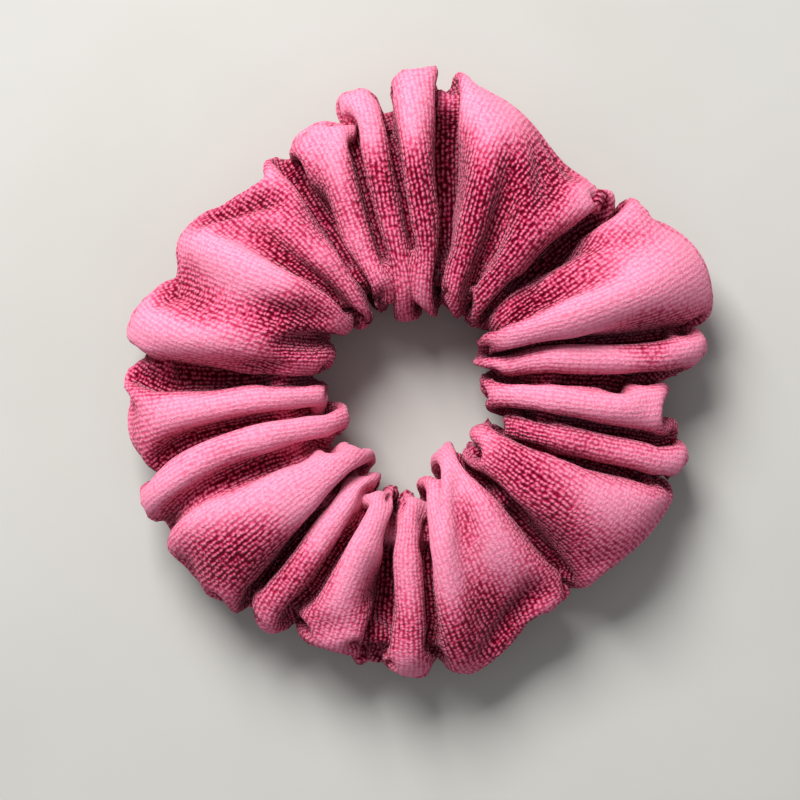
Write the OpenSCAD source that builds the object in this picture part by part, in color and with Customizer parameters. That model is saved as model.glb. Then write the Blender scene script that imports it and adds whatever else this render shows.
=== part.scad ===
// Gathered scrunchie: a velour tube bunched up on a loop of flat elastic.
// The ring lies flat on Z = 0 with its middle at the origin, in millimetres.
// Angles run anticlockwise round the ring from +X. Phases run round the tube, from the rim (0)
// over the top (90) to the hole (180) and back under the ring (270).

/* [Ring] */
// Mean diameter of the ring, rim to rim
ring_d = 110; // [90:1:150]
// Height of the tallest gather above the table
ring_h = 28; // [20:1:42]
// Diameter of the hole for the hair
hole_d = 32; // [22:1:38]
// How deep the flattened underside cuts into the round of the tube
flat_depth = 2.5; // [1:0.5:5]

/* [Gathers] */
// Depth of the creases between gathers at the rim
rim_crease = 4; // [1:0.5:8]
// Depth of the creases between gathers over the top
top_crease = 5; // [1:0.5:8]
// Depth of the pleats at the edge of the hole
hole_crease = 1.5; // [0.5:0.5:3]

/* [Elastic] */
// Mean diameter of the relaxed elastic loop
loop_d = 50; // [44:1:60]
// Width of the flat elastic
elastic_w = 8; // [5:0.5:12]
// Thickness of one layer of elastic
elastic_t = 1; // [0.6:0.1:1.6]
// Length over which the two ends of the elastic lie on each other
lap_len = 10; // [6:1:16]
// Room left round the elastic inside the gathered cloth
elastic_clear = 0.6; // [0.4:0.1:1.5]

/* [Stitching] */
// Diameter of the sewing thread
thread_d = 0.5; // [0.3:0.05:0.8]
// Distance from one stitch of the long seam to the next, at the rim
stitch_pitch = 2.9; // [2.4:0.1:4]
// Part of each pitch that shows as thread
stitch_share = 0.7; // [0.4:0.05:0.8]
// Room left under the stitches in the dimple that a seam pulls into the velour
seam_room = 0.8; // [0.6:0.1:1.4]
// Number of zigzag turns that lock the lap of the elastic
lap_turns = 3; // [2:1:4]

/* [Stretch] */
// Gap between the two halves of the cover at rest
half_gap = 0.4; // [0.3:0.1:1]

/* [Hidden] */

// Each gather: its angle, how far its tip stands from the mean rim, and its top below ring_h.
puffs = [
    [8, 0, -3], [24, 6, -1], [44, 1, -3], [62, -1, -2], [80, 8, 0], [100, 3, -3],
    [118, -1, -2], [138, 0, -1], [160, 0, -4], [179, 0, -2], [200, 1, 0], [227, 0, -2],
    [256, -5, -3], [283, -1, -1], [306, -6, -4], [333, -1, -1], [352, -4, -3],
];

ring_steps = round(PI * ring_d / 2 / stitch_pitch);  // sections of each half, one to a stitch
section_turn = 180 / ring_steps;
tube_steps = 28;        // points round each section, one to a stitch of the end join
seam_step = 1;          // the long seam runs along this point of every section
end_join_share = 0.95;  // how far round the right half the ends of the tube are sewn together
end_join_step = round(ring_steps * end_join_share);
end_join_angle = end_join_step * section_turn - 90;
lap_angle = 200;        // where the ends of the elastic overlap
zigzag_sweep = 0.8;     // share of the lap's length that the zigzag covers
zigzag_rise = 0.35;     // how far it swings each way, as a share of the elastic's width
zigzag_dive = 0.7;      // how far its legs stop short of a corner, in thread diameters
tube_round = 0.85;      // 1 gives an elliptical tube, less gives a fuller one
channel_round = 0.3;    // nearly rectangular, as the elastic is
gather_round = 0.8;     // less than 1 makes the gathers broad and the creases narrow
shoulder = 0.8;         // the tube is over the elastic up to this share of its half height
loop_r = loop_d / 2;
lap_bond = 0.05;        // how far the two layers of the lap press into each other
loop_lift = 0.4;        // height of the elastic's middle, as a share of the ring's height
loop_z = ring_h * loop_lift;
cloth_over = 1;         // least thickness of gathered cloth over the elastic
lap_sweep = lap_len / loop_r * 180 / PI;
thread_gap = 0.1;       // air between a stitch and what it lies on
stitch_depth = thread_d / 2 + thread_gap;            // stitches bridge the dimple that they pull
seam_depth = stitch_depth + thread_d / 2 + seam_room;

function wrap(a) = a - 360 * floor(a / 360);
function puff(i) = puffs[(i + len(puffs)) % len(puffs)];
function last_puff(t) = len([for (p = puffs) if (p[0] <= wrap(t)) 1]) - 1;

// How far an angle has come from one gather (0) to the next (1).
function way(t) =
    let (a = puff(last_puff(t))[0], b = puff(last_puff(t) + 1)[0])
    wrap(t - a) / wrap(b - a);

// A value of the gathers, blended from each to the next, and the crease between them.
function blend(t, column) =
    let (i = last_puff(t), s = 0.5 - 0.5 * cos(180 * way(t)))
    puff(i)[column] * (1 - s) + puff(i + 1)[column] * s;
function crease(t) = 1 - pow(abs(cos(180 * way(t))), gather_round);

function rim_r(t) = ring_d / 2 + blend(t, 1) - rim_crease * crease(t);
function inner_r(t) = hole_d / 2 + hole_crease * crease(t);

// Creases stop where the cloth in them meets the elastic that it runs over.
least_over = loop_z + elastic_w / 2 + elastic_clear + cloth_over;
least_top = (2 * least_over + (1 - shoulder) * flat_depth) / (1 + shoulder);
function top_z(t) = max(least_top, ring_h + blend(t, 2) - top_crease * crease(t));

function full(x, roundness) = sign(x) * pow(abs(x), roundness);
function at_angle(t, r, z) = [r * cos(t), r * sin(t), z];

// Radius and height of the cover's surface, sunk in by a depth where a seam pulls on it.
function skin(t, phase, depth) =
    let (half_r = (rim_r(t) - inner_r(t)) / 2,
         mid_r = (rim_r(t) + inner_r(t)) / 2,
         half_z = (top_z(t) + flat_depth) / 2,
         mid_z = (top_z(t) - flat_depth) / 2,
         r = mid_r + (half_r - depth) * full(cos(phase), tube_round),
         z = mid_z + (half_z - depth) * full(sin(phase), tube_round))
    [r, max(depth, z)];
function skin_point(t, phase, depth) =
    let (s = skin(t, phase, depth)) at_angle(t, s[0], s[1]);

// The room for the elastic, wide enough for its lap and the thread on both sides of it.
channel_r = loop_r - elastic_t / 2;
channel_half_r = elastic_t + thread_d + elastic_clear;
channel_half_z = elastic_w / 2 + elastic_clear;
function channel_point(t, phase) =
    at_angle(t, channel_r + channel_half_r * full(cos(phase), channel_round),
             loop_z + channel_half_z * full(sin(phase), channel_round));

// The dimple is one facet wide along the long seam and two sections wide along the end join.
function dimple(t, k) =
    k == seam_step ? seam_depth
    : seam_depth * max(0, 1 - abs(wrap(t) - end_join_angle) / (2 * section_turn));
function outer_ring(t) =
    [for (k = [0 : tube_steps - 1]) skin_point(t, k * 360 / tube_steps, dimple(t, k))];
function channel_ring(t) =
    [for (k = [0 : tube_steps - 1]) channel_point(t, k * 360 / tube_steps)];

// The middle of the whole ring's outline, which is moved to the origin.
outline = [for (t = [-90 : section_turn : 269]) skin_point(t, 0, 0)];
outline_x = [for (p = outline) p[0]];
outline_y = [for (p = outline) p[1]];
middle = [(max(outline_x) + min(outline_x)) / 2, (max(outline_y) + min(outline_y)) / 2, 0];

module placed() {
    translate(-middle) children();
}

// Four corners, clockwise as seen from outside, split into two triangles.
function quad(a, b, c, d) = [[a, b, c], [a, c, d]];

// Half of the gathered tube, from one cut across the ring to the other.
module cover_half(start) {
    n = tube_steps;
    angles = [for (i = [0 : ring_steps]) start + i * section_turn];
    outer_points = [for (t = angles) each outer_ring(t)];
    channel_points = [for (t = angles) each channel_ring(t)];
    inner = len(outer_points);
    last = ring_steps * n;
    walls = [
        for (i = [0 : ring_steps - 1], k = [0 : n - 1])
            let (m = (k + 1) % n, a = i * n + k, b = i * n + m, c = a + n, d = b + n)
            each concat(quad(a, b, d, c), quad(inner + b, inner + a, inner + c, inner + d))
    ];
    ends = [
        for (k = [0 : n - 1])
            let (m = (k + 1) % n)
            each concat(quad(inner + k, inner + m, m, k),
                        quad(last + k, last + m, inner + last + m, inner + last + k))
    ];
    polyhedron(points = concat(outer_points, channel_points), faces = concat(walls, ends));
}

module cover_left() {
    color("palevioletred") translate([-half_gap / 2, 0, 0]) placed() cover_half(90);
}

module cover_right() {
    color("palevioletred") translate([half_gap / 2, 0, 0]) placed() cover_half(-90);
}

// One layer of elastic, r from the ring's middle, over a sweep of angle.
module elastic_layer(r, sweep) {
    rotate_extrude(angle = sweep, $fn = 96)
        translate([r - elastic_t / 2, loop_z - elastic_w / 2]) square([elastic_t, elastic_w]);
}

module elastic() {
    color("whitesmoke") placed() {
        elastic_layer(loop_r, 360);
        rotate([0, 0, lap_angle - lap_sweep / 2])
            elastic_layer(loop_r - elastic_t + lap_bond, lap_sweep);
    }
}

// A short straight piece of thread between two points, lying on a surface that faces out.
module stitch(a, b, out) {
    along = b - a;
    side = cross(along, out) / norm(cross(along, out)) * thread_d / 2;
    up = cross(side, along) / norm(cross(side, along)) * thread_d / 2;
    corners = [for (p = [a, b]) each [p - side - up, p + side - up, p + side + up, p - side + up]];
    polyhedron(points = corners, faces = [
        each quad(3, 2, 1, 0), each quad(4, 5, 6, 7),
        for (k = [0 : 3]) each quad(k, (k + 1) % 4, 4 + (k + 1) % 4, 4 + k),
    ]);
}

// Zigzag tacking across the lap, on one face of the elastic. Its legs stop short of each other
// where the thread dives through the elastic.
module lap_zigzag(r) {
    rise = elastic_w * zigzag_rise;
    turn = lap_sweep * zigzag_sweep / (2 * lap_turns);
    dive = thread_d * zigzag_dive / r * 180 / PI;
    for (i = [0 : 2 * lap_turns - 1]) {
        t = lap_angle + (i - lap_turns) * turn;
        z = i % 2 == 0 ? rise : -rise;
        stitch(at_angle(t + dive, r, loop_z - z), at_angle(t + turn - dive, r, loop_z + z),
               at_angle(t, 1, 0));
    }
}

module elastic_join_thread() {
    face = elastic_t / 2 + thread_d / 2 + thread_gap;
    color("white") placed() {
        lap_zigzag(loop_r + face);
        lap_zigzag(loop_r - elastic_t - face);
    }
}

// A stitch that covers its share of the way between two points of the skin.
module stitch_between(p, q, out) {
    margin = (1 - stitch_share) / 2;
    stitch(p + (q - p) * margin, q - (q - p) * margin, out);
}

// The long seam runs all round the ring, but for the two stitches that meet the end join.
module lengthwise_seam_thread() {
    phase = seam_step * 360 / tube_steps;
    color("crimson") placed()
        for (i = [1 : 2 * ring_steps - 2]) {
            t = end_join_angle + i * section_turn;
            stitch_between(skin_point(t, phase, stitch_depth),
                           skin_point(t + section_turn, phase, stitch_depth),
                           at_angle(t, 1, 0.5));
        }
}

// The end join runs round the tube, but for the two stitches that meet the long seam.
module end_join_thread() {
    t = end_join_angle;
    turn = 360 / tube_steps;
    color("crimson") translate([half_gap / 2, 0, 0]) placed()
        for (k = [seam_step + 1 : seam_step + tube_steps - 2])
            stitch_between(skin_point(t, k * turn, stitch_depth),
                           skin_point(t, (k + 1) * turn, stitch_depth),
                           at_angle(t, cos(k * turn), sin(k * turn)));
}

cover_left();
cover_right();
elastic();
elastic_join_thread();
lengthwise_seam_thread();
end_join_thread();
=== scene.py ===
# %% [markdown]
# # A gathered velour scrunchie
#
# A scrunchie is a tube of soft cloth drawn over a loop of elastic. The tube is over three times
# as long as the loop, so the cloth has to bunch up, and the bunches are the whole look of it.
# This lesson drafts the cloth along its folds and lets it settle as a strip of a known size.
# The hidden elastic and the sewing thread are made too.
#
# Lengths are in millimetres while a shape is worked out, and in metres once it is a mesh.

# %% Load the fixed frame
import math

import bpy
import numpy as np
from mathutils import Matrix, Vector


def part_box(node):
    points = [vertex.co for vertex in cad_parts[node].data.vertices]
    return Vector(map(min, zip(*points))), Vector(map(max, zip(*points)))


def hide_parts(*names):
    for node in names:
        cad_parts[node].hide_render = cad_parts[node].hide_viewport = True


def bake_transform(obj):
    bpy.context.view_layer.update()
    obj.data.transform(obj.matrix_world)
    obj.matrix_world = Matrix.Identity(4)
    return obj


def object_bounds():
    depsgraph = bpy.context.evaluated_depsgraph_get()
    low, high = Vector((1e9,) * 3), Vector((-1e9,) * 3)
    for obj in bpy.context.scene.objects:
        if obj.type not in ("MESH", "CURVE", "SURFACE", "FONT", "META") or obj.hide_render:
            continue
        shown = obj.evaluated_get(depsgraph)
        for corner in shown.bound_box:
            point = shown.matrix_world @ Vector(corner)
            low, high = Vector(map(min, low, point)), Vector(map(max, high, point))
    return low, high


MM = 0.001
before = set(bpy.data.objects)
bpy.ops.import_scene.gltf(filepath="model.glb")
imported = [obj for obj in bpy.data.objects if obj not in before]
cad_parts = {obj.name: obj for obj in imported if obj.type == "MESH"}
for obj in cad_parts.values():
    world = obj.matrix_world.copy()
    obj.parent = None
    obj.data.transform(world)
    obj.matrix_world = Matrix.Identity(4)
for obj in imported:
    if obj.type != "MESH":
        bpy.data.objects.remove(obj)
cad_low, cad_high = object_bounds()
print("CAD box in mm:", [round(x / MM, 1) for x in (*cad_low, *cad_high)])

# %% [markdown]
# ## Where everything goes
#
# The elastic loop is the one piece whose place is exact, so the cloth is laid out round the
# middle of that loop. All angles are in degrees, anticlockwise from +X, seen from above.

# %% Find the elastic loop
loop_low, loop_high = (np.array(corner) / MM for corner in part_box("elastic"))
middle = (loop_low + loop_high) / 2
band_thick, band_wide = 1.0, loop_high[2] - loop_low[2]
loop_radius = (loop_high[0] - loop_low[0]) / 2 - band_thick / 2
band_height = middle[2]
elastic_room = (3.2, 5.9)       # half the width and height of the room round the band
print("loop middle", middle.round(2), "radius", round(loop_radius, 2), "band", round(band_wide, 2))

# %% [markdown]
# ## The folds
#
# Gathered cloth could be left to fold at random, but then no two rings would look alike. A
# maker who copies one ring looks at each ridge and each crease in turn, and writes down where
# it runs. So each line below is one ridge or crease that runs over the tube, from the edge of
# the hole to the outer rim. It says where the line crosses the hole, the top and the rim, how
# far it stands from the middle at the rim and the hole, and how high it is on the way. A
# crease that is high at one end is a pocket that closes there.

# %% List the ridges and creases
folds = np.array([
    # angle at the hole, top, rim; radius at the rim, hole; height by the hole, on top, by the rim
    (10, -1, 1, 47.5, 12.5, 23, 25, 22),
    (18, 5.5, 3.5, 46, 14, 15, 9, 9),
    (22, 9, 7, 49.5, 14, 15, 11, 12),
    (28, 12, 11, 57, 13.5, 21, 23, 23),
    (33, 16, 14, 54, 15, 17, 10, 11),
    (36, 26, 27, 65, 15, 25, 28, 26),
    (39, 33, 36, 56, 19, 24, 23, 22),
    (43, 37.5, 41, 55.5, 21, 21, 23, 22),
    (46, 43, 42, 54, 22, 12, 6, 17),
    (51, 49.5, 46, 54, 22, 12, 8, 18),
    (54, 52, 49, 53, 19, 22, 25, 23),
    (62, 63, 60, 51, 18, 20, 21, 21),
    (68, 73, 74, 62, 18, 22, 26, 28),
    (72, 78.5, 83, 62, 19, 14, 5, 22),
    (76, 84, 87, 62.5, 19, 14, 6, 23),
    (80, 90, 90, 63.5, 16, 21, 26, 27),
    (87, 94, 95, 54, 17, 17, 13, 14),
    (94, 98, 100, 60, 16, 20, 22, 26),
    (99, 101, 103, 58, 17.5, 17, 10, 24),
    (105, 107, 108, 55, 17, 20, 23, 23),
    (111, 114.5, 117.5, 52, 19, 14, 8, 15),
    (114, 117.5, 120.5, 52, 19, 14, 9, 15),
    (118, 123, 126, 51.5, 17, 22, 24, 22),
    (122, 132, 138, 51, 18, 20, 20, 15),
    (130, 140, 146, 56, 16.5, 23, 27, 26),
    (143, 152, 153, 49, 17.5, 20, 26, 12),
    (156, 166, 161, 57, 16, 22, 25, 26),
    (164, 171, 170, 53, 18, 12, 6, 18),
    (170, 177.5, 176, 54, 17, 12, 8, 18),
    (176, 182, 184, 55, 14.5, 20, 23, 23),
    (188, 188, 196, 52, 14, 18, 14, 14),
    (195, 194, 202, 54.5, 12, 22, 26, 25),
    (206, 200, 205, 54, 16, 12, 18, 25),
    (211, 205, 209, 54, 16, 12, 18, 25),
    (217, 211, 214, 54, 13, 24, 27, 26),
    (227, 226, 226, 54, 12.5, 23, 25, 24),
    (235, 231, 231, 50, 16, 13, 8, 9),
    (239, 236, 236, 51, 15.5, 22, 24, 22),
    (246, 242, 240.5, 49, 17.5, 18, 15, 14),
    (252, 250, 250, 50, 17, 24, 25, 22),
    (257, 258.5, 260, 50, 18, 18, 7, 19),
    (263, 265.5, 264.5, 50.5, 18, 18, 7, 19),
    (266, 268, 269, 51, 17, 22, 24, 22),
    (273, 274, 275, 50.5, 18, 16, 12, 12),
    (283, 279, 283, 54, 14, 22, 24, 23),
    (293, 291, 293, 48, 11, 23, 23, 12),
    (303, 305, 303, 47, 10, 23, 26, 20),
    (306, 309.5, 308, 46, 13, 12, 8, 10),
    (311, 313, 311, 47, 13, 12, 9, 11),
    (317, 317, 318, 48, 12, 23, 24, 22),
    (330, 334, 331, 53, 12, 23, 26, 25),
    (338, 341, 344, 50, 15, 13, 9, 11),
    (345, 345, 346, 52, 15.5, 21, 22, 22),
    (352, 349, 351, 50, 15, 15, 10, 12),
], float)
print(len(folds), "ridges and creases")

# %% [markdown]
# ## A first draft of the cloth
#
# Each fold line becomes a closed curve round the tube. The top half follows the numbers above,
# and the underside is flatter and waves the other way, as cloth does that lies on a table.
# A smooth closed curve through all of the lines, point by point, is then a grid of cloth.

# %% Turn one fold into a closed curve round the tube
around, across = 240, 52        # points of cloth round the ring, and round the tube
tube_round = 0.85               # 1 is an ellipse, and less is a fuller tube
puffed = 1.2                    # how much further the cloth will stand once it is puffed out
shoulder = 0.8                  # how far from the top, as a cosine, the side heights are reached
fold_round = 2.4                # 1 is a sharp fold, and more is a broad one with narrow creases
least_roll = 2                  # lines nearer in height than this need no roll between them
roll_places = (0.15, 0.5)       # where lines are put between a crease and a ridge, as shares
full_depth = 18                 # a crease this far below the tallest ridge is as deep as any
rim_level, rim_drop = 13, 4     # height of the tube's side at the rim, and its drop in a crease
hole_level, hole_drop = 15, 6   # the same by the hole
under_level, under_lift = 1, 5  # height of the underside, and how far a ridge lifts it
hole_limit = 3.8                # the draft stays this far inside the elastic, by the hole
lean_rounds = 6                 # how often the lean of the underside is evened out
turn = np.arange(across) / across * 2 * math.pi
out_in, up_down = np.cos(turn), np.sin(turn)
on_top = up_down >= 0


def fuller(wave):
    """A cosine or sine with rounder shoulders."""
    return np.sign(wave) * np.abs(wave) ** tube_round


def through(inner, top, outer, along):
    """A smooth value that is inner at -1, top at 0 and outer at 1."""
    return top + (outer - inner) / 2 * along + ((outer + inner) / 2 - top) * along ** 2


def fold_curve(fold, under_angle, tallest):
    """The points of one fold line, from the rim over the top and back under the ring."""
    hole_a, top_a, rim_a, rim_r, hole_r, hole_z, top_z, rim_z = fold
    rim_r, hole_r = rim_r - puffed, min(hole_r + 2 * puffed, loop_radius - hole_limit)
    depth = np.clip((tallest - top_z) / full_depth, 0, 1)
    angle = np.radians(through(hole_a, np.where(on_top, top_a, under_angle), rim_a, out_in))
    radius = (rim_r + hole_r) / 2 + (rim_r - hole_r) / 2 * fuller(out_in)
    rim_side, hole_side = rim_level - rim_drop * depth, hole_level - hole_drop * depth
    under = under_level + under_lift * (1 - depth)
    side = (rim_side + hole_side) / 2 + (rim_side - hole_side) / 2 * out_in
    over = through(hole_z, top_z, rim_z, np.clip(out_in / shoulder, -1, 1))
    height = side + np.where(on_top, over - side, under - side) * np.abs(fuller(up_down))
    beside = 1 - ((radius - loop_radius) / elastic_room[0]) ** 2
    round_band = elastic_room[1] * np.sqrt(np.maximum(beside, 0))
    height = np.where(beside <= 0, height, np.where(
        on_top, np.maximum(height, band_height + round_band),
        np.minimum(height, band_height - round_band)))
    return np.stack([radius * np.cos(angle), radius * np.sin(angle), height], -1)


def rolled(first, second):
    """The lines between a crease and a ridge: steep by the crease and flat on the ridge."""
    second = second.copy()
    second[:3] += 360 * (second[1] < first[1] - 180)
    if abs(second[6] - first[6]) < least_roll:
        return []
    climbing = first[6] < second[6]
    lines = []
    for from_crease in roll_places:
        rise = 1 - (1 - from_crease) ** fold_round
        across_way, up_way = (from_crease, rise) if climbing else (1 - from_crease, 1 - rise)
        lines.append(first + (second - first) * np.array([across_way] * 3 + [up_way] * 5))
    return lines if climbing else lines[::-1]


fold_lines, line_of_fold = [], []
for number, fold in enumerate(folds):
    line_of_fold.append(len(fold_lines))
    fold_lines += [fold, *rolled(fold, folds[(number + 1) % len(folds)])]
fold_lines = np.array(fold_lines)
even = np.arange(len(fold_lines)) * 360 / len(fold_lines)
lean = (fold_lines[:, 2] + fold_lines[:, 0]) / 2 - even
for _ in range(lean_rounds):
    lean = (np.roll(lean, 1) + 2 * lean + np.roll(lean, -1)) / 4
curves = np.stack([fold_curve(f, u, folds[:, 6].max()) for f, u in zip(fold_lines, lean + even)])
print("fold curves:", curves.shape)


# %% Draw a smooth closed curve through the folds
def closed_spline(knots, values, total, places):
    """A smooth closed curve through values at knots on a loop of length total, at some places."""
    count = len(knots)
    step = np.diff(np.append(knots, knots[0] + total))
    before, slope = np.roll(step, 1), (np.roll(values, -1, 0) - values) / step[:, None]
    matrix = np.zeros((count, count))
    rows = np.arange(count)
    matrix[rows, rows - 1] += before
    matrix[rows, rows] += 2 * (before + step)
    matrix[rows, (rows + 1) % count] += step
    bend = np.linalg.solve(matrix, 6 * (slope - np.roll(slope, 1, 0)))
    at = np.clip(np.searchsorted(knots, places, "right") - 1, 0, count - 1)
    after, wide = (at + 1) % count, step[at][:, None]
    gone = (places - knots[at])[:, None]
    left = wide - gone
    return ((bend[at] * left ** 3 + bend[after] * gone ** 3) / (6 * wide)
            + (values[at] / wide - bend[at] * wide / 6) * left
            + (values[after] / wide - bend[after] * wide / 6) * gone)


top_band = slice(across // 4 - across // 10, across // 4 + across // 10)
steps_over = np.linalg.norm(np.roll(curves, -1, 0) - curves, axis=-1)[:, top_band].mean(1)
cloth_length = steps_over.sum()
fold_places = np.append(0, np.cumsum(steps_over)[:-1])
grid_places = np.arange(around) / around * cloth_length
draft = closed_spline(fold_places, curves.reshape(len(fold_lines), -1), cloth_length, grid_places)
draft = draft.reshape(around, across, 3)
floor_gap = 0.2                 # the pile keeps the cloth this far above the table
draft[..., 2] = np.maximum(draft[..., 2], floor_gap)
cloth_girth = 88.0              # width of the strip between its seams
print("strip of velour:", round(cloth_length), "by", cloth_girth, "mm")

# %% [markdown]
# ## Letting the cloth settle
#
# Blender has a cloth simulator, but a ring of tight gathers touches itself everywhere, which
# is where that simulator is slowest and least steady. A small one of our own is enough here.
# Threads of the grid stay near their lengths, diagonals keep the weave square, and longer links
# resist only being pushed together, which is what makes thick velour turn in wide rolls. Where
# the draft is crowded, as by the hole, the cloth may draw in a little. Points that come too
# near each other move apart, a little pressure puffs the tube out, and a weak pull towards the
# draft keeps each fold where the maker wants it.

# %% Link the points of the cloth
def links(grid, along, over, rest, pull, push):
    """Pairs of points a few steps apart, in sets that share no point, with their length and how
    strongly they resist being pulled and pushed."""
    rest = np.broadcast_to(rest, grid.shape)
    axis, block = (0, along) if along else (1, over)
    number = np.arange(grid.shape[axis]) // block
    colour = number % 2
    if number[-1] % 2 == 0:
        colour[number == number[-1]] = 2
    other = np.roll(grid, (-along, -over), (0, 1))
    sets = []
    for c in np.unique(colour):
        chosen = [slice(None), slice(None)]
        chosen[axis] = colour == c
        chosen = tuple(chosen)
        sets.append((grid[chosen].ravel(), other[chosen].ravel(), rest[chosen].ravel(), pull, push))
    return sets


def weave(grid, step_u, step_v):
    """The short links of a cloth whose grid has these steps, and the long ones that round it."""
    slant = np.hypot(step_u, step_v)
    along_stiff, over_pull, over_push, slant_stiff = 0.6, 0.35, 0.2, 0.35
    stiff, far_stiff, far_share = 0.12, 0.2, 0.65
    short = (links(grid, 1, 0, step_u, along_stiff, along_stiff)
             + links(grid, 0, 1, step_v, over_pull, over_push)
             + links(grid, 1, 1, slant, slant_stiff, slant_stiff)
             + links(grid, 1, -1, slant, slant_stiff, slant_stiff)
             + links(grid, 2, 0, 2 * step_u, 0, stiff) + links(grid, 0, 2, 2 * step_v, 0, stiff))
    return short, (links(grid, 4, 0, 4 * step_u * far_share, 0, far_stiff)
                   + links(grid, 0, 4, 4 * step_v * far_share, 0, far_stiff))


def on_ridges(points, out, link):
    """The long links that bridge a ridge. A crease may fold as tight as it likes."""
    a, b, rest, pull, push = link
    rises = ((out[a] - out[b]) * (points[a] - points[b])).sum(1) > 0
    return a[rises], b[rises], rest[rises], pull, push


def keep_length(points, link):
    """Moves both ends of each link so that it comes nearer to its own length."""
    a, b, rest, pull, push = link
    gap = points[b] - points[a]
    size = np.sqrt((gap * gap).sum(1)) + 1e-9
    error = size - rest
    move = (0.5 * np.where(error > 0, pull, push) * error / size)[:, None] * gap
    points[a] += move
    points[b] -= move


# %% Find cloth that nearly touches, and part it
def spread_pairs(low, high, source):
    """Every (source, j) with j from low up to high, for many sources at once."""
    count = high - low
    some = count > 0
    low, count, source = low[some], count[some], source[some]
    row = np.repeat(np.arange(len(count)), count)
    return source[row], np.arange(count.sum()) - (np.cumsum(count) - count)[row] + low[row]


def near_pairs(points, reach, shape, skip=2):
    """Pairs of points nearer than reach that aren't neighbours in the cloth."""
    cell = np.floor((points - points.min(0)) / reach).astype(np.int64) + 1
    size_y, size_z = cell[:, 1].max() + 2, cell[:, 2].max() + 2
    key = (cell[:, 0] * size_y + cell[:, 1]) * size_z + cell[:, 2]
    order = np.argsort(key, kind="stable")
    sorted_key, place = key[order], np.arange(len(points))
    found = [spread_pairs(place + 1, np.searchsorted(sorted_key, sorted_key, "right"), place)]
    side = (-1, 0, 1)
    for offset in sorted((x * size_y + y) * size_z + z for x in side for y in side for z in side):
        if offset > 0:
            low = np.searchsorted(sorted_key, sorted_key + offset, "left")
            high = np.searchsorted(sorted_key, sorted_key + offset, "right")
            found.append(spread_pairs(low, high, place))
    a, b = (order[np.concatenate([f[i] for f in found])] for i in (0, 1))
    near = ((points[a] - points[b]) ** 2).sum(1) < reach * reach
    a, b = a[near], b[near]
    row = np.abs(a // shape[1] - b // shape[1])
    column = np.abs(a % shape[1] - b % shape[1])
    apart = ((np.minimum(row, shape[0] - row) > skip)
             | (np.minimum(column, shape[1] - column) > skip))
    return a[apart], b[apart]


def part(points, a, b, thick):
    """Moves near points apart until they are one thickness from each other."""
    gap = points[a] - points[b]
    size = np.sqrt((gap * gap).sum(1)) + 1e-9
    close = size < thick
    a, b, gap, size = a[close], b[close], gap[close], size[close]
    move = (0.5 * (thick - size) / size)[:, None] * gap
    total = len(points)
    shared = np.bincount(a, minlength=total) + np.bincount(b, minlength=total)
    share = 1 / np.sqrt(np.maximum(shared, 1))
    for axis in range(3):
        weight = move[:, axis]
        points[:, axis] += share * (np.bincount(a, weights=weight, minlength=total)
                                    - np.bincount(b, weights=weight, minlength=total))


# %% Keep the cloth off the elastic and the table
def outward(points, shape):
    """The direction out of the tube at each point."""
    grid = points.reshape(*shape, 3)
    along = np.roll(grid, -1, 0) - np.roll(grid, 1, 0)
    over = np.roll(grid, -1, 1) - np.roll(grid, 1, 1)
    normal = np.cross(along, over)
    return (normal / (np.linalg.norm(normal, axis=2, keepdims=True) + 1e-9)).reshape(-1, 3)


top_gap = 0.4
cloth_top = cad_high[2] / MM - top_gap


def keep_clear(points):
    """Moves points out of the elastic's room, off the table and under the ring's full height."""
    radius = np.hypot(points[:, 0], points[:, 1])
    off_r, off_z = radius - loop_radius, points[:, 2] - band_height
    inside = np.hypot(off_r / elastic_room[0], off_z / elastic_room[1])
    m = inside < 1
    grow = 1 / np.maximum(inside[m], 0.05)
    points[m, :2] *= ((loop_radius + off_r[m] * grow) / radius[m])[:, None]
    points[m, 2] = band_height + off_z[m] * grow
    points[:, 2] = np.clip(points[:, 2], floor_gap, cloth_top)


# %% Let it settle
def blurred(grid, rounds):
    """The grid after each point is averaged with its neighbours a number of times."""
    for _ in range(rounds):
        for axis in (0, 1):
            grid = (np.roll(grid, 1, axis) + 2 * grid + np.roll(grid, -1, axis)) / 4
    return grid


draft_slack, least_kept = 1.3, 0.8      # room over the draft's length, and the least share kept
kept_speed, top_speed, sag = 0.9, 0.8, 0.01
look_every, look_beyond, link_rounds = 6, 1.2, 4
goal_blur, kept_sharp = 3, 0.6          # blurs of the pull to the draft, and share left unsmoothed


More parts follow.
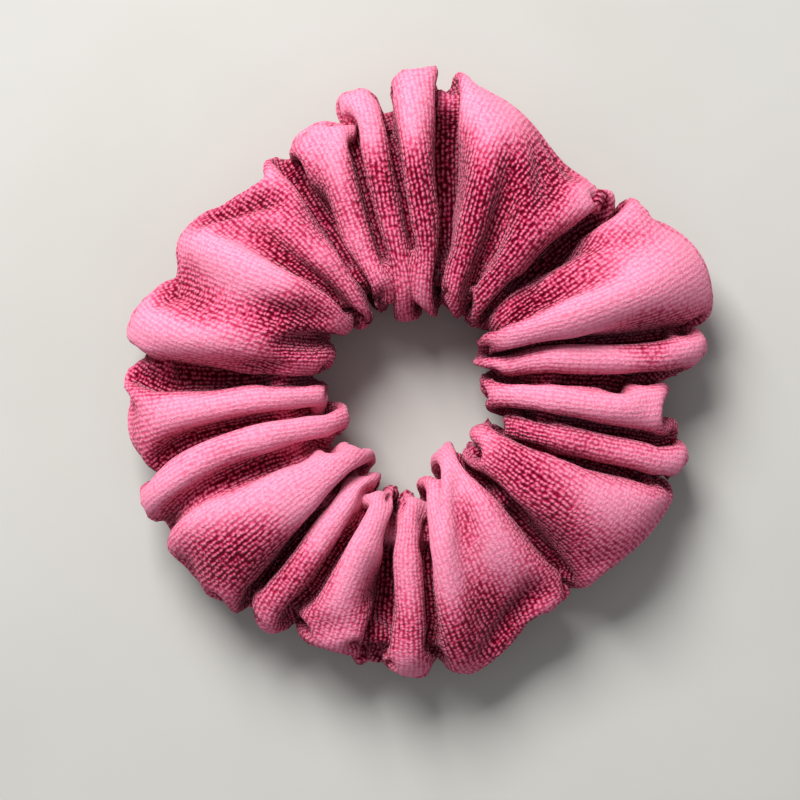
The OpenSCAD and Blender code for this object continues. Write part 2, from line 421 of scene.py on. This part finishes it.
def settle(start, length, girth, steps, thick, hold_first, hold_last, puff):
    """The cloth after some steps of movement, as a grid of points."""
    shape = start.shape[:2]
    grid = np.arange(shape[0] * shape[1]).reshape(shape)
    step_u, step_v = length / shape[0], girth / shape[1]
    drafted = np.linalg.norm(np.roll(start, -1, 0) - start, axis=-1).mean(0) / step_u
    tight = np.clip(draft_slack * drafted, least_kept, 1)
    short, long = weave(grid, step_u * tight, step_v)
    goal = start.reshape(-1, 3)
    points, last = goal.copy(), goal.copy()
    for step in range(steps):
        speed = (points - last) * kept_speed
        fastest = np.sqrt((speed ** 2).sum(1))
        speed *= np.minimum(1, top_speed / np.maximum(fastest, 1e-9))[:, None]
        last = points.copy()
        out = outward(points, shape)
        bridging = [on_ridges(points, out, link) for link in long]
        points = points + speed + puff * out
        points[:, 2] -= sag
        if step % look_every == 0:
            a, b = near_pairs(points, thick + look_beyond, shape)
        for _ in range(link_rounds):
            for link in short + bridging:
                keep_length(points, link)
            keep_clear(points)
            part(points, a, b, thick)
            keep_clear(points)
        left = 1 - step / steps
        astray = blurred((goal - points).reshape(*shape, 3), goal_blur).reshape(-1, 3)
        points += astray * (hold_first * left ** 2 + hold_last)
    smooth = blurred(points.reshape(*shape, 3), 1).reshape(-1, 3)
    points = kept_sharp * points + (1 - kept_sharp) * smooth
    keep_clear(points)
    return points.reshape(*shape, 3)


settle_steps = 140
cloth = settle(draft, cloth_length, cloth_girth, settle_steps,
               thick=2.2, hold_first=0.12, hold_last=0.06, puff=0.035)
reach = np.hypot(cloth[..., 0], cloth[..., 1])
print("ring reaches from", reach.min().round(1), "to", reach.max().round(1), "mm from the middle")

# %% [markdown]
# ## How crowded the cloth is
#
# Where other cloth faces a point from nearby, as in a crease, the velour's colour gets painted
# shade. So each point gets a number that says how much other cloth faces it from nearby, and the
# velour's colour uses it later as painted shade.

# %% Measure how crowded each point is
def crowding(grid, reach):
    """How much other cloth faces each point from nearby: none on a ridge, a lot in a crease."""
    points, shape = grid.reshape(-1, 3), grid.shape[:2]
    facing = outward(points, shape)
    a, b = near_pairs(points, reach, shape, skip=3)
    gap = points[b] - points[a]
    gap /= np.linalg.norm(gap, axis=1, keepdims=True) + 1e-9
    seen_a = np.maximum((facing[a] * gap).sum(1), 0)
    seen_b = np.maximum(-(facing[b] * gap).sum(1), 0)
    total = len(points)
    return (np.bincount(a, weights=seen_a, minlength=total)
            + np.bincount(b, weights=seen_b, minlength=total)).reshape(shape)


crowd_reach, crowd_full = 9.0, 90       # mm that count as nearby, and the percentile that is full
# crowded is turned into painted shade in the creases by the velour's colour
crowded = crowding(cloth, crowd_reach)
crowded = blurred(crowded / np.percentile(crowded, crowd_full), 1)
print("crowded points, middle and most:", np.median(crowded).round(2), crowded.max().round(2))

# %% [markdown]
# ## A finer grid
#
# The settled grid has a point every two millimetres, which would show as facets. Halving the
# steps with a smooth rule, which puts each new point on the curve through its four neighbours,
# keeps the shape and makes it smooth.


# %% Halve the steps of the grid both ways
def halved(grid, axis):
    """The grid with a new point between each two, on the smooth curve through four."""
    ahead = [np.roll(grid, -k, axis) for k in (-1, 0, 1, 2)]
    between = (9 * (ahead[1] + ahead[2]) - ahead[0] - ahead[3]) / 16
    both = np.stack([grid, between], axis + 1)
    shape = list(grid.shape)
    shape[axis] *= 2
    return both.reshape(shape)


cloth, crowded = (halved(halved(grid, 0), 1) for grid in (cloth, crowded))
around, across = cloth.shape[:2]
print("fine grid:", around, "by", across)

# %% [markdown]
# ## Seams
#
# The tube is a strip with its long edges sewn together, and its two ends are sewn to each other
# once the elastic is inside. A seam is turned to the inside, so from outside it is a fine
# groove. It could be drawn with a bump alone, but a groove in the mesh also shows in the
# outline. The long seam runs low on the outer side of the ring, and the end join goes into the
# deepest crease, where a maker turns it to hide it.

# %% Pull the grooves in
end_join_fold = 14              # the crease that hides the join, counted in the list of folds
seam_row = 2                    # across the tube, counted from the rim over the top
join_column = round(fold_places[line_of_fold[end_join_fold]] / cloth_length * around)
cell_u, cell_v = cloth_length / around, cloth_girth / across
groove_depth, groove_width = 0.3, 1.1


def steps_from(count, start):
    """How many grid steps each row or column is from one of them, the short way round."""
    away = np.abs(np.arange(count) - start)
    return np.minimum(away, count - away)


out = outward(cloth.reshape(-1, 3), cloth.shape[:2]).reshape(cloth.shape)
from_seam = steps_from(across, seam_row)[None, :] * cell_v
from_join = steps_from(around, join_column)[:, None] * cell_u
groove = np.maximum(np.exp(-(from_seam / groove_width) ** 2) + 0 * from_join,
                    np.exp(-(from_join / groove_width) ** 2) + 0 * from_seam)
cloth = cloth - out * (groove_depth * groove)[..., None]
velour_thick, inner_gap = 1.2, 0.1      # the inner face stays this gap above the table
cloth[..., 2] = np.maximum(cloth[..., 2], inner_gap + velour_thick * np.maximum(out[..., 2], 0))
print("seam at row", seam_row, "and end join at column", join_column)


# %% [markdown]
# ## Painted light and shade in the velour's colour
#
# Each point of the cloth gets one number, from 0 in a crease to 1 on a ridge, that the velour's
# colour turns into painted shade and painted highlight: how far it stands out from the cloth
# around it, less how crowded it is. Some faces get more painted light or painted shade, listed
# place by place below.

# %% Measure ridges and creases
wide_blur = 40
stands_out = ((cloth - blurred(cloth, wide_blur)) * out).sum(-1)
# Extra painted light and painted shade on single faces, listed place by place
painted_light_places = (     # angle round the ring, mm from its middle, reach, painted light above 0 and painted shade below
    (28, 52, 9, 0.5), (25, 35, 8, 0.3), (48, 52, 6, 0.3), (75, 57, 8, 0.4), (66, 36, 13, -0.5),
    (88, 40, 8, -0.4), (103, 55, 7, 0.5), (99, 42, 7, -0.25), (124, 40, 6, -0.3),
    (135, 42, 7, 0.2), (148, 40, 10, 0.45), (160, 50, 7, 0.2), (183, 42, 6, 0.3),
    (185, 22, 8, 0.4), (203, 42, 9, 0.4), (223, 44, 9, -0.4), (224, 20, 10, 0.6),
    (200, 20, 8, 0.4), (236, 40, 6, -0.25), (250, 28, 8, 0.3), (255, 20, 8, 0.5),
    (270, 44, 8, -0.35), (286, 46, 7, -0.45), (298, 30, 12, 0.6), (303, 15, 8, 0.4),
    (316, 35, 12, -0.6), (320, 22, 8, -0.4), (158, 25, 8, -0.35), (331, 40, 8, 0.45),
    (345, 35, 7, -0.2), (0, 38, 7, 0.3),
    (10, 22, 8, 0.35), (15, 45, 6, -0.3))
painted_light_spread = np.zeros(cloth.shape[:2])
for angle, far, spread, strength in painted_light_places:
    turned = math.radians(angle)
    away = np.hypot(cloth[..., 0] - far * math.cos(turned), cloth[..., 1] - far * math.sin(turned))
    painted_light_spread += strength * np.exp(-(away / spread) ** 2)
level_painted_light, full_rise = 0.52, 6          # the painted light of level cloth, and the rise in mm that adds 1
crowd_share, painted_light_share = 0.5, 0.8    # how much painted shade crowding adds, and how much the listed painted light adds
# ridge holds painted light and shade: paler where a point stands out or a listed place lights it,
# darker where it is crowded in a crease
ridge = np.clip(level_painted_light + blurred(stands_out, 2) / full_rise
                - crowd_share * crowded + painted_light_share * painted_light_spread, 0, 1)
print("brushed from", ridge.min().round(2), "to", ridge.max().round(2), "middle", ridge.mean().round(2))

# %% [markdown]
# ## The velour cover
#
# The grid becomes one closed mesh. Its UV map is laid out in metres of flat cloth and starts at
# the two seams, so that a rib of the knit has the same width everywhere and the pattern breaks
# only where the real one does. A Solidify modifier gives the cloth its thickness, inward.


# %% Build a mesh from a grid of points
def new_piece(name, points, faces):
    """A smooth mesh object in metres from points in millimetres round the loop's middle."""
    mesh = bpy.data.meshes.new(name)
    place = (np.asarray(points).reshape(-1, 3) + (middle[0], middle[1], 0)) * MM
    mesh.from_pydata(place.tolist(), [], [[int(corner) for corner in face] for face in faces])
    mesh.polygons.foreach_set("use_smooth", [True] * len(mesh.polygons))
    piece = bpy.data.objects.new(name, mesh)
    bpy.context.scene.collection.objects.link(piece)
    return piece


def closed_faces(rows, columns, close_rows=True):
    """Four-sided faces of a grid that is closed across its columns, and along its rows if asked."""
    number = np.arange(rows * columns).reshape(rows, columns)
    ahead = np.roll(number, -1, 0)
    faces = np.stack([number, ahead, np.roll(ahead, -1, 1), np.roll(number, -1, 1)], -1)
    return (faces if close_rows else faces[:-1]).reshape(-1, 4)


cover = new_piece("velour_cover", cloth, closed_faces(around, across))
corner_u = (np.arange(around)[:, None, None] - join_column) % around + np.array([0, 1, 1, 0])
corner_v = (np.arange(across)[None, :, None] - seam_row) % across + np.array([0, 0, 1, 1])
flat_uv = np.stack(np.broadcast_arrays(corner_u * cell_u * MM, corner_v * cell_v * MM), -1)
cover.data.uv_layers.new(name="flat_cloth").data.foreach_set("uv", flat_uv.ravel())
# The mesh carries the painted light and shade as a point attribute
brushed = cover.data.attributes.new("brushed", "FLOAT", "POINT")
brushed.data.foreach_set("value", ridge.ravel().astype(np.float32))
thickness = cover.modifiers.new("velour thickness", "SOLIDIFY")
thickness.thickness, thickness.offset = velour_thick * MM, -1
print("cover:", len(cover.data.polygons), "faces")


# %% [markdown]
# ## Stitches
#
# Each stitch is a short piece of thread that comes up through the cloth, lies in the seam's
# groove and goes down again. A curve with a bevel could draw it, but hundreds of small tubes in
# one mesh are lighter and can follow the cloth's own surface. The thread is twisted from two
# plies, and the twist is modelled as a slight waist that winds round each tube.


# %% Make tubes of thread
def tube(path, up, radius, sides=8, twist=0.0, ply=0.12, end_size=0.35):
    """Points and faces of a closed tube along a path. up is any direction off the path."""
    path, up = np.asarray(path, float), np.asarray(up, float)
    ahead = np.gradient(path, axis=0)
    ahead /= np.linalg.norm(ahead, axis=1, keepdims=True)
    side = np.cross(ahead, up)
    side /= np.linalg.norm(side, axis=1, keepdims=True)
    top = np.cross(side, ahead)
    travelled = np.append(0, np.cumsum(np.linalg.norm(np.diff(path, axis=0), axis=1)))
    a = np.arange(sides) / sides * 2 * math.pi
    wound = 1 - ply * np.cos(2 * (a[None, :] - twist * travelled[:, None]))
    ends = np.ones(len(path))
    ends[[0, -1]] = end_size
    size = (radius * wound * ends[:, None])[..., None]
    points = path[:, None] + size * (np.cos(a)[None, :, None] * side[:, None]
                                     + np.sin(a)[None, :, None] * top[:, None])
    faces = [list(f) for f in closed_faces(len(path), sides, close_rows=False)]
    caps = [list(range(sides)), list(range(len(path) * sides))[-sides:][::-1]]
    return points.reshape(-1, 3), faces + caps


def gathered_tubes(tubes):
    """One list of points and one of faces from many tubes."""
    points, faces, start = [], [], 0
    for tube_points, tube_faces in tubes:
        points.append(tube_points)
        faces += [[n + start for n in face] for face in tube_faces]
        start += len(tube_points)
    return np.concatenate(points), faces


# %% Sew both seams
thread_radius, stitch_pitch, stitch_share = 0.13, 2.9, 0.5
stitch_points, stitch_rise, end_dive = 7, 0.6, 0.6  # rise in radii, and the dive of its ends in mm
thread_twist = 4.0


def along_line(line, places):
    """Points on a closed grid line at places counted in grid steps."""
    first = np.floor(places).astype(int) % len(line)
    part_way = (places - np.floor(places))[:, None]
    return line[first] * (1 - part_way) + line[(first + 1) % len(line)] * part_way


def sew(line, line_out, cell, name):
    """Stitches one pitch apart along a closed line of the cloth."""
    count = round(len(line) * cell / stitch_pitch)
    pitch = len(line) / count
    tubes = []
    for stitch in range(count):
        way = np.linspace(-0.5, 0.5, stitch_points)
        places = (stitch + 0.5 + way * stitch_share) * pitch
        normal = along_line(line_out, places)
        lift = thread_radius * stitch_rise - end_dive * (2 * np.abs(way)) ** 4
        path = along_line(line, places) + normal * lift[:, None]
        path[:, 2] = np.maximum(path[:, 2], thread_radius)
        tubes.append(tube(path, normal, thread_radius, twist=thread_twist))
    print(name, count, "stitches")
    return new_piece(name, *gathered_tubes(tubes))


long_seam = sew(cloth[:, seam_row], out[:, seam_row], cell_u, "lengthwise_seam")
end_join = sew(cloth[join_column], out[join_column], cell_v, "end_join_seam")

# %% [markdown]
# ## The elastic
#
# Inside the cloth runs a band of braided elastic, eight millimetres wide, whose ends overlap and
# are locked with a zigzag stitch. It can't be seen unless the ring is taken apart, but every
# piece is made as it is, and its ribs are real. The band is one strip: its tail slips inside
# its own start, so the radius eases in by one thickness just before the lap.

# %% Weave the elastic band
lap_angle, lap_length, ribs = 200.0, 10.0, 8
lap_sink = 0.05                 # how far the two ends press into each other
ease_from, ease_over = 325, 30  # degrees along the band where its radius eases in
rib_low, rib_rise, edge_thin = 0.36, 0.14, 0.7
lap_turn = math.degrees(lap_length / loop_radius)
band_steps = 300
band_angle = np.radians(np.linspace(lap_angle - lap_turn / 2, lap_angle + lap_turn / 2 + 360,
                                    band_steps))
ease = np.clip((np.linspace(-lap_turn, 360, band_steps) - ease_from) / ease_over, 0, 1)
band_radius = loop_radius - (band_thick - lap_sink) * ease * ease * (3 - 2 * ease)
rib_points = ribs * 4 + 1
level = np.linspace(-0.5, 0.5, rib_points)
rib_swell = rib_low + rib_rise * np.abs(np.sin(level * ribs * math.pi + ribs * math.pi / 2))
rib_swell[[0, -1]] *= edge_thin
profile = np.concatenate([np.stack([rib_swell, level * band_wide], -1),
                          np.stack([-rib_swell, level * band_wide], -1)[::-1]])
spread = band_radius[:, None] + profile[None, :, 0] * band_thick
band = np.stack([spread * np.cos(band_angle)[:, None], spread * np.sin(band_angle)[:, None],
                 band_height + profile[None, :, 1] + 0 * spread], -1)
band_faces = [list(f) for f in closed_faces(band_steps, len(profile), close_rows=False)]
band_faces += [list(range(len(profile)))[::-1], list(range(band_steps * len(profile)))[-len(profile):]]
elastic_band = new_piece("elastic_band", band, band_faces)
print("elastic band:", band_steps, "steps,", len(profile), "points round its section")

# %% Lock the lap with a zigzag
turns, stitch_reach, zigzag_radius = 3, 0.355, 0.2
turn_points, lap_used = 24, 0.8         # points in one turn, and the share of the lap that is sewn
thread_bulge, corner_dive = 0.12, 1.6


def zigzag(radius, bulge, phase):
    """A zigzag tube that lies on one face of the lap, its corners sunk in the band."""
    share = np.linspace(0, 1, turns * turn_points + 1)
    angle = np.radians(lap_angle + (share - 0.5) * lap_turn * lap_used)
    swing = np.arcsin(np.sin(2 * math.pi * (turns * share + phase))) / (math.pi / 2)
    out_of_band = radius + bulge * (1 - corner_dive * np.abs(swing) ** 6)
    path = np.stack([out_of_band * np.cos(angle), out_of_band * np.sin(angle),
                     band_height + swing * stitch_reach * band_wide], -1)
    up = np.stack([np.cos(angle), np.sin(angle), 0 * angle], -1)
    return tube(path, up, zigzag_radius, twist=thread_twist)


outer_face = loop_radius + band_thick / 2
inner_face = loop_radius - 1.5 * band_thick + lap_sink
elastic_join = new_piece("elastic_join", *gathered_tubes([
    zigzag(outer_face, thread_bulge, phase=0.1),
    zigzag(inner_face, -thread_bulge, phase=0.35)]))
print("lap locked at", lap_angle, "degrees")

# %% [markdown]
# ## Shader maths as plain sums
#
# Node materials are clearest when their sums read like sums. This class wraps one socket of a
# material, so that 1 - ribs or ribs * 0.5 adds the Math nodes for it. Colours and directions go
# through their own nodes, because a Math node would turn them grey.


# %% Wrap a shader socket
class Wire:
    """One output of a shader node, which can be added, taken away, multiplied and divided."""

    def __init__(self, tree, socket=None):
        self.tree, self.socket = tree, socket

    def node(self, kind, settings=None, inputs=None, output=0):
        """Adds a node: its settings first, then the value or link of each of its inputs."""
        made = self.tree.nodes.new(kind)
        for name, value in (settings or {}).items():
            if name == "stops":
                for stop in range(2, len(value)):
                    made.color_ramp.elements.new(stop / len(value))
                for element, (position, colour) in zip(made.color_ramp.elements, value):
                    element.position, element.color = position, colour
            else:
                setattr(made, name, value)
        for name, value in (inputs or {}).items():
            if isinstance(value, Wire):
                self.tree.links.new(value.socket, made.inputs[name])
            else:
                made.inputs[name].default_value = value
        return Wire(self.tree, made.outputs[output] if len(made.outputs) else None)

    def output(self, number):
        """Another output of the same node."""
        return Wire(self.tree, self.socket.node.outputs[number])

    def maths(self, operation, first, second=0.0):
        return self.node("ShaderNodeMath", {"operation": operation}, {0: first, 1: second})

    def __add__(self, other):
        return self.maths("ADD", self, other)

    def __sub__(self, other):
        return self.maths("SUBTRACT", self, other)

    def __mul__(self, other):
        return self.maths("MULTIPLY", self, other)

    def __truediv__(self, other):
        return self.maths("DIVIDE", self, other)

    def __rsub__(self, other):
        return self.maths("SUBTRACT", other, self)

    __radd__, __rmul__ = __add__, __mul__

    def sine(self):
        return self.maths("SINE", self)

    def held(self, low=0.0, high=1.0):
        """The value kept between two limits."""
        return self.maths("MINIMUM", self.maths("MAXIMUM", self, low), high)


def new_finish(name):
    """An empty material with its tree, and a Wire to start from."""
    material = bpy.data.materials.new(name)
    material.use_nodes = True
    material.node_tree.nodes.clear()
    return material, Wire(material.node_tree)


def show(start, surface):
    """Sends a shader to the surface of its material."""
    start.node("ShaderNodeOutputMaterial", {}, {"Surface": surface})


def shade(red, green, blue):
    """A colour as it looks on screen, 0 to 255, turned into the light that a shader works in."""
    def light(part):
        part /= 255
        return part / 12.92 if part <= 0.04045 else ((part + 0.055) / 1.055) ** 2.4
    return (light(red), light(green), light(blue), 1.0)


def mixed(start, factor, first, second):
    """A colour between two others."""
    return start.node("ShaderNodeMix", {"data_type": "RGBA"}, {0: factor, 6: first, 7: second}, 2)


# %% [markdown]
# ## Velour
#
# Velour is a rib knit whose loops have been cut to a pile. Three things of its own are seen: ribs
# about a millimetre apart that run round the tube, the courses that part them into small tufts,
# and the grain of the pile itself. Over these the colour carries painted highlight on ridges and
# listed faces, and painted shade in creases, read from the mesh. The ribs stand out where the
# cloth is in painted shade or bent, and are nearly hidden where the ridges carry painted
# highlight. The pale edge of the pile comes from the shader's sheen.

# %% Make the velour
velour, v = new_finish("rose_velour")
flat = v.node("ShaderNodeUVMap", {"uv_map": "flat_cloth"})
flat_parts = v.node("ShaderNodeSeparateXYZ", {}, {0: flat})
across_flat = flat_parts.output(1)
rib_size, course_size = 1.0, 0.72       # mm, before they are made to fit the strip
rib_step = cloth_length * MM / round(cloth_length / rib_size)
course_step = cloth_girth * MM / round(cloth_girth / course_size)


def cloth_noise(size, detail=2.0, roughness=0.5, output=0):
    """Soft random spots of about this size, in millimetres, that stay with the cloth."""
    return v.node("ShaderNodeTexNoise", {}, {"Vector": flat, "Scale": 1 / (size * MM),
                                             "Detail": detail, "Roughness": roughness}, output)


wander = cloth_noise(7.0) - 0.5
jitter = cloth_noise(1.3, 1.0) - 0.5
rib_turn = (flat_parts + wander * (0.8 * MM) + jitter * (0.5 * MM)) * (2 * math.pi / rib_step)
course_turn = (across_flat + jitter * (0.7 * MM)) * (2 * math.pi / course_step)
rib = (rib_turn.sine() + 1) * 0.5
tuft_place = v.node("ShaderNodeCombineXYZ", {}, {0: rib_turn / (2 * math.pi),
                                                1: course_turn / (2 * math.pi)})
tuft_edge = v.node("ShaderNodeTexVoronoi", {"voronoi_dimensions": "2D"}, {
    "Vector": tuft_place, "Scale": 1.0, "Randomness": 0.7})
loop_tuft = (1.1 - tuft_edge * 1.5 + (rib - 0.5) * 0.5).held()
grain = cloth_noise(0.35, 3.0, 0.7)
tuft = cloth_noise(1.1, 2.0, 0.6)
patch = cloth_noise(16.0, 2.0, 0.5)
# The number read from the mesh here is painted light and shade: painted highlight on ridges and listed
# faces, painted shade in creases. Random patches and tufts add the cloth's own tone.
painted_light_read = v.node("ShaderNodeAttribute", {"attribute_name": "brushed"}, {}, 2)
nap_and_painted_light = ((painted_light_read - 0.5) * 1.7 + 0.2 + (patch - 0.5) + (tuft - 0.5) * 0.4).held()
# Ribs and tufts show more where there is painted shade
knit_where_shaded = 1 - nap_and_painted_light * 0.8
pile_and_painted_light = (nap_and_painted_light * 0.68 + (loop_tuft - 0.3) * knit_where_shaded * 0.8 + (grain - 0.5) * 0.5 + 0.1).held()
# The ramp's dark wine end is painted shade and its pale end painted highlight; the knit tufts and grain
# add the cloth's own tone
pile_colour_and_painted_light = v.node("ShaderNodeValToRGB", {"stops": [
    (0.0, shade(86, 0, 20)), (0.25, shade(140, 14, 48)), (0.5, shade(198, 70, 104)),
    (0.75, shade(226, 122, 152)), (1.0, shade(238, 162, 188))]}, {0: pile_and_painted_light})
height = loop_tuft * knit_where_shaded + grain * 0.5 + tuft * 0.25
relief = v.node("ShaderNodeBump", {}, {"Strength": 1.0, "Distance": 0.4 * MM, "Height": height})
show(v, v.node("ShaderNodeBsdfPrincipled", {}, {
    "Base Color": pile_colour_and_painted_light, "Roughness": 1.0, "Specular IOR Level": 0.0,
    "Sheen Weight": 0.5, "Sheen Roughness": 0.4, "Sheen Tint": shade(255, 170, 194),
    "Normal": relief}))
cover.data.materials.append(velour)
print("rib step", round(rib_step / MM, 3), "mm, course step", round(course_step / MM, 3), "mm")

# %% [markdown]
# ## Thread and elastic
#
# Sewing thread is smooth twisted polyester, so it is a little shinier than the cloth and nearly
# the same rose. The band is undyed braid: its ribs are in the mesh, and the crossing yarns are
# a fine wave in the bump. The lap is locked with plain white thread.

# %% Make the thread and the elastic
def thread_finish(name, colour, dark):
    """Twisted polyester thread."""
    material, t = new_finish(name)
    place = t.node("ShaderNodeTexCoord", {}, {}, 3)
    fibre = t.node("ShaderNodeTexNoise", {}, {"Vector": place, "Scale": 3500.0, "Detail": 2.0})
    relief = t.node("ShaderNodeBump", {}, {"Strength": 0.5, "Distance": 0.05 * MM, "Height": fibre})
    show(t, t.node("ShaderNodeBsdfPrincipled", {}, {
        "Base Color": mixed(t, fibre, dark, colour), "Roughness": 0.5, "Sheen Weight": 0.2,
        "Normal": relief}))
    return material


rose_thread = thread_finish("rose_thread", shade(222, 84, 118), shade(150, 36, 66))
white_thread = thread_finish("white_thread", shade(244, 242, 236), shade(196, 192, 184))
for piece, thread in ((long_seam, rose_thread), (end_join, rose_thread), (elastic_join, white_thread)):
    piece.data.materials.append(thread)

braid, e = new_finish("braided_elastic")
place = e.node("ShaderNodeTexCoord", {}, {}, 3)
spot = e.node("ShaderNodeTexNoise", {}, {"Vector": place, "Scale": 900.0, "Detail": 3.0})
yarn = e.node("ShaderNodeTexNoise", {}, {"Vector": place, "Scale": 2500.0, "Detail": 2.0})
yarn_relief = e.node("ShaderNodeBump", {}, {"Strength": 0.7, "Distance": 0.12 * MM,
                                            "Height": yarn * 0.6 + spot * 0.4})
show(e, e.node("ShaderNodeBsdfPrincipled", {}, {
    "Base Color": mixed(e, spot * 0.7 + yarn * 0.3, shade(206, 202, 194), shade(240, 237, 230)),
    "Roughness": 0.75, "Sheen Weight": 0.2, "Normal": yarn_relief}))
elastic_band.data.materials.append(braid)

# %% [markdown]
# ## What each piece stands for
#
# The part stretches by sliding its right side away from its left. Real cloth and elastic give
# all along their length. Here each piece is moved into place for good, and the parts of the
# frame that it stands for are hidden.

# %% Put the pieces in place and hide the parts they stand for
for piece, nodes, slot in (
        (cover, ("cover_left", "cover_right"), "velour_cover"),
        (elastic_band, ("elastic",), "elastic"),
        (elastic_join, ("elastic_join_thread",), "elastic_thread"),
        (long_seam, ("lengthwise_seam_thread",), "seam_thread"),
        (end_join, ("end_join_thread",), "seam_thread")):
    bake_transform(piece)
    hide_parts(*nodes)

# %% [markdown]
# ## Floor, light and camera
#
# The ring lies on a plain pale floor under soft light from one side, and the camera looks
# straight down on it, a little off the middle of the ring.

# %% Set the floor
bpy.ops.mesh.primitive_plane_add(size=3, location=(0, 0, 0))
floor = bpy.context.object
floor.name = "floor"
floor_finish, f = new_finish("pale_floor")
floor_spot = f.node("ShaderNodeTexNoise", {}, {"Scale": 60.0, "Detail": 4.0})
show(f, f.node("ShaderNodeBsdfPrincipled", {}, {
    "Base Color": mixed(f, floor_spot, shade(176, 174, 168), shade(188, 186, 181)), "Roughness": 0.9}))
floor.data.materials.append(floor_finish)

# %% Set the light
scene = bpy.context.scene
scene.view_settings.view_transform = "Standard"
sky = bpy.data.worlds.new("soft_room")
sky.use_nodes = True
sky.node_tree.nodes["Background"].inputs["Color"].default_value = (0.92, 0.96, 1.0, 1.0)
sky.node_tree.nodes["Background"].inputs["Strength"].default_value = 0.35
scene.world = sky


def soft_light(name, place, size, power, aim=(0, 0, 0.01)):
    """A square lamp aimed at the ring."""
    lamp = bpy.data.lights.new(name, "AREA")
    lamp.size, lamp.energy = size, power
    holder = bpy.data.objects.new(name, lamp)
    holder.location = place
    holder.rotation_euler = (Vector(aim) - Vector(place)).to_track_quat("-Z", "Y").to_euler()
    scene.collection.objects.link(holder)


soft_light("window", (-0.24, 0.52, 0.6), 0.4, 11.7)
print("light set")

# %% Set the camera
view_width, view_centre, camera_height = 0.152, (-0.0031, -0.0048), 0.45
sensor, ring_middle = 36.0, 0.012       # the sensor's width in mm, and half the ring's height
camera_data = bpy.data.cameras.new("camera")
camera_data.sensor_width = sensor
camera_data.lens = sensor * (camera_height - ring_middle) / view_width
camera = bpy.data.objects.new("camera", camera_data)
camera.location = (*view_centre, camera_height)
scene.collection.objects.link(camera)
scene.camera = camera
print("camera lens", round(camera_data.lens, 1), "mm")
